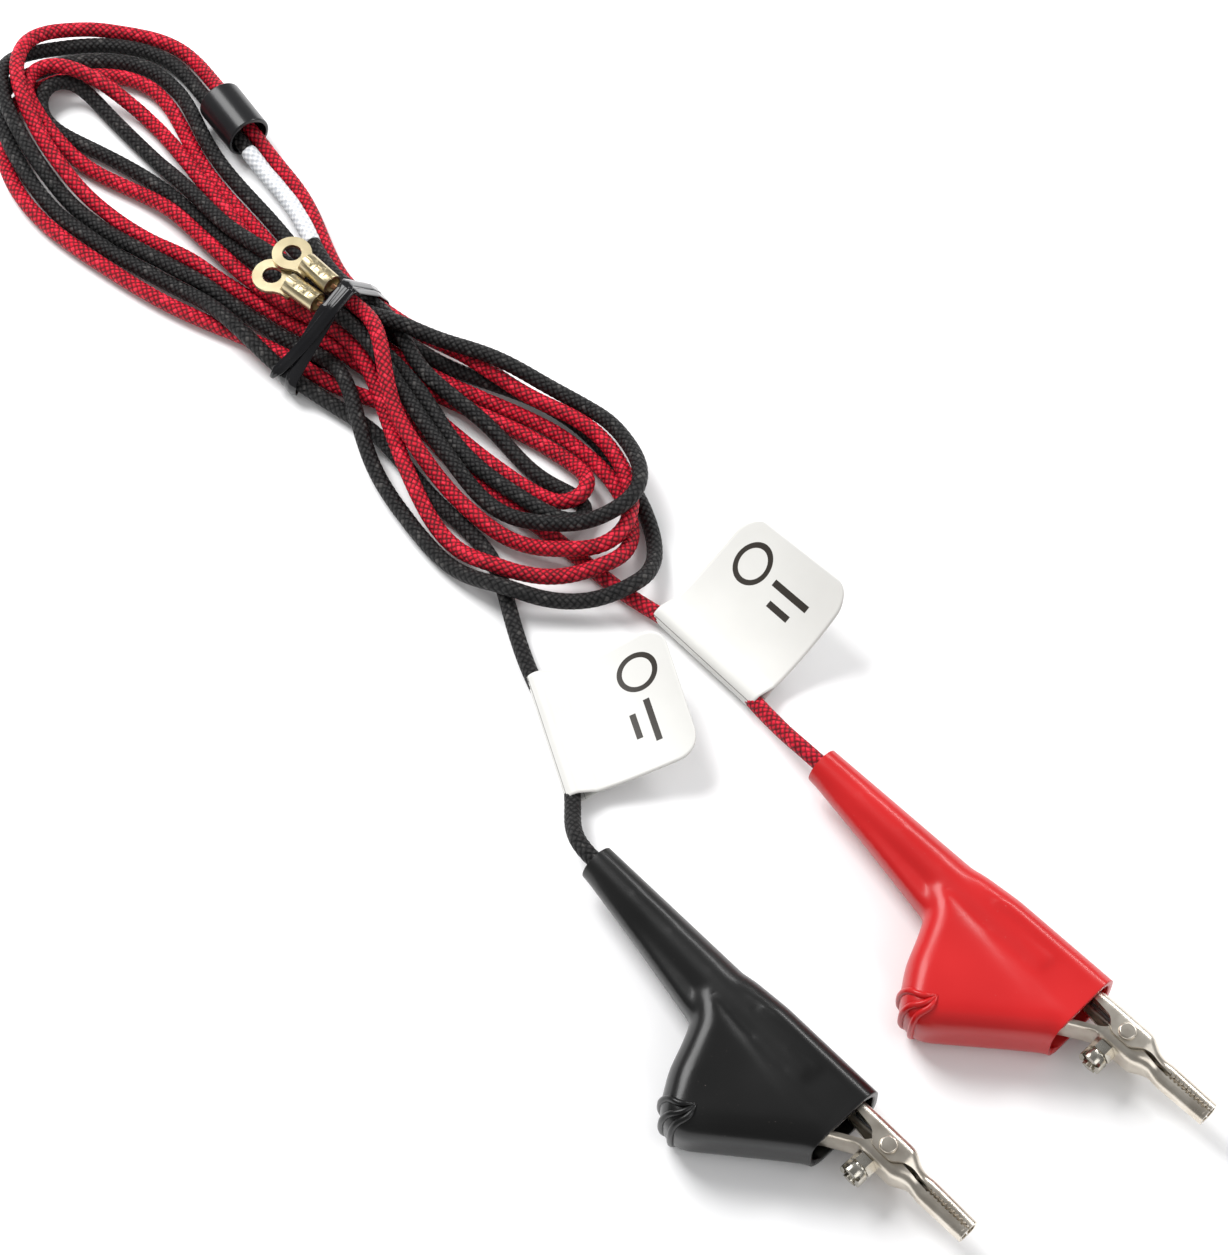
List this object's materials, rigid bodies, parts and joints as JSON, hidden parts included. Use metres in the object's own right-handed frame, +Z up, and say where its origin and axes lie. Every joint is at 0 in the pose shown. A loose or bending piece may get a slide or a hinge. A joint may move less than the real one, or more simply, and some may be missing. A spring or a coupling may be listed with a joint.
{
  "type": "alligator clip lead",
  "caption": "Pair of braided test leads, red and black, coiled and tied, with insulated alligator clips, flag labels and ring terminals.",
  "frame": {"origin": "on the bench straight below the middle of the tie that binds the coiled cords", "axes": "+Z up from the bench; the clips point toward -Y and +X; the cords and the clips lie on the XY plane"},
  "size_m": [0.2337, 0.27, 0.0159],
  "materials": {
    "black_braid": "woven textile braid, matt with a faint sheen",
    "red_braid": "woven textile braid, matt with a faint sheen",
    "insulation": "thin rubber layer under the braid, matt",
    "conductor": "stranded copper, bare",
    "terminal_plating": "pale gold-coloured plating, glossy",
    "label_film": "off-white printed film, satin",
    "black_boot": "soft vinyl, glossy",
    "red_boot": "soft vinyl, glossy",
    "nickel_plate": "nickel plate, warm grey, half gloss",
    "spring_steel": "drawn spring wire",
    "post_plating": "nickel plate over brass, half gloss",
    "black_sleeve": "smooth tube, glossy",
    "white_sleeve": "shrunk tube with a mottled surface",
    "tie_plastic": "plastic-covered wire, glossy"
  },
  "bodies": {
    "harness": {"black_cord_braid": "black_braid", "black_cord_insulation": "insulation", "black_cord_conductor": "conductor", "black_ring_terminal": "terminal_plating", "black_flag_label": "label_film", "black_boot": "black_boot", "black_fixed_jaw": "nickel_plate", "black_pivot_rivet": "nickel_plate", "black_jaw_spring": "spring_steel", "black_terminal_screw": "nickel_plate", "red_cord_braid": "red_braid", "red_cord_insulation": "insulation", "red_cord_conductor": "conductor", "red_ring_terminal": "terminal_plating", "red_flag_label": "label_film", "red_boot": "red_boot", "red_fixed_jaw": "nickel_plate", "red_pivot_rivet": "nickel_plate", "red_jaw_spring": "spring_steel", "red_terminal_screw": "nickel_plate", "white_marker_sleeve": "white_sleeve", "twist_tie": "tie_plastic"},
    "collar": {"strain_relief_collar": "black_sleeve"},
    "black_moving_half": {"black_moving_jaw": "nickel_plate", "black_test_post": "post_plating", "black_piercing_pins": "post_plating", "black_post_washer": "nickel_plate"},
    "red_moving_half": {"red_moving_jaw": "nickel_plate", "red_test_post": "post_plating", "red_piercing_pins": "post_plating", "red_post_washer": "nickel_plate"}
  },
  "joints": [
    {"name": "black_jaw_hinge", "type": "hinge", "parent": "harness", "child": "black_moving_half", "pos_m": [0.1022, -0.1734, 0.00625], "axis": [0, 0, -1], "range_deg": [0, 22], "deforming": ["black_jaw_spring", "black_boot"]},
    {"name": "red_jaw_hinge", "type": "hinge", "parent": "harness", "child": "red_moving_half", "pos_m": [0.1446, -0.1526, 0.00625], "axis": [0, 0, -1], "range_deg": [0, 22], "deforming": ["red_jaw_spring", "red_boot"]},
    {"name": "collar_slide", "type": "slide", "parent": "harness", "child": "collar", "axis": [0.5651, -0.825, 0], "range_m": [0, 0.002]}
  ]
}
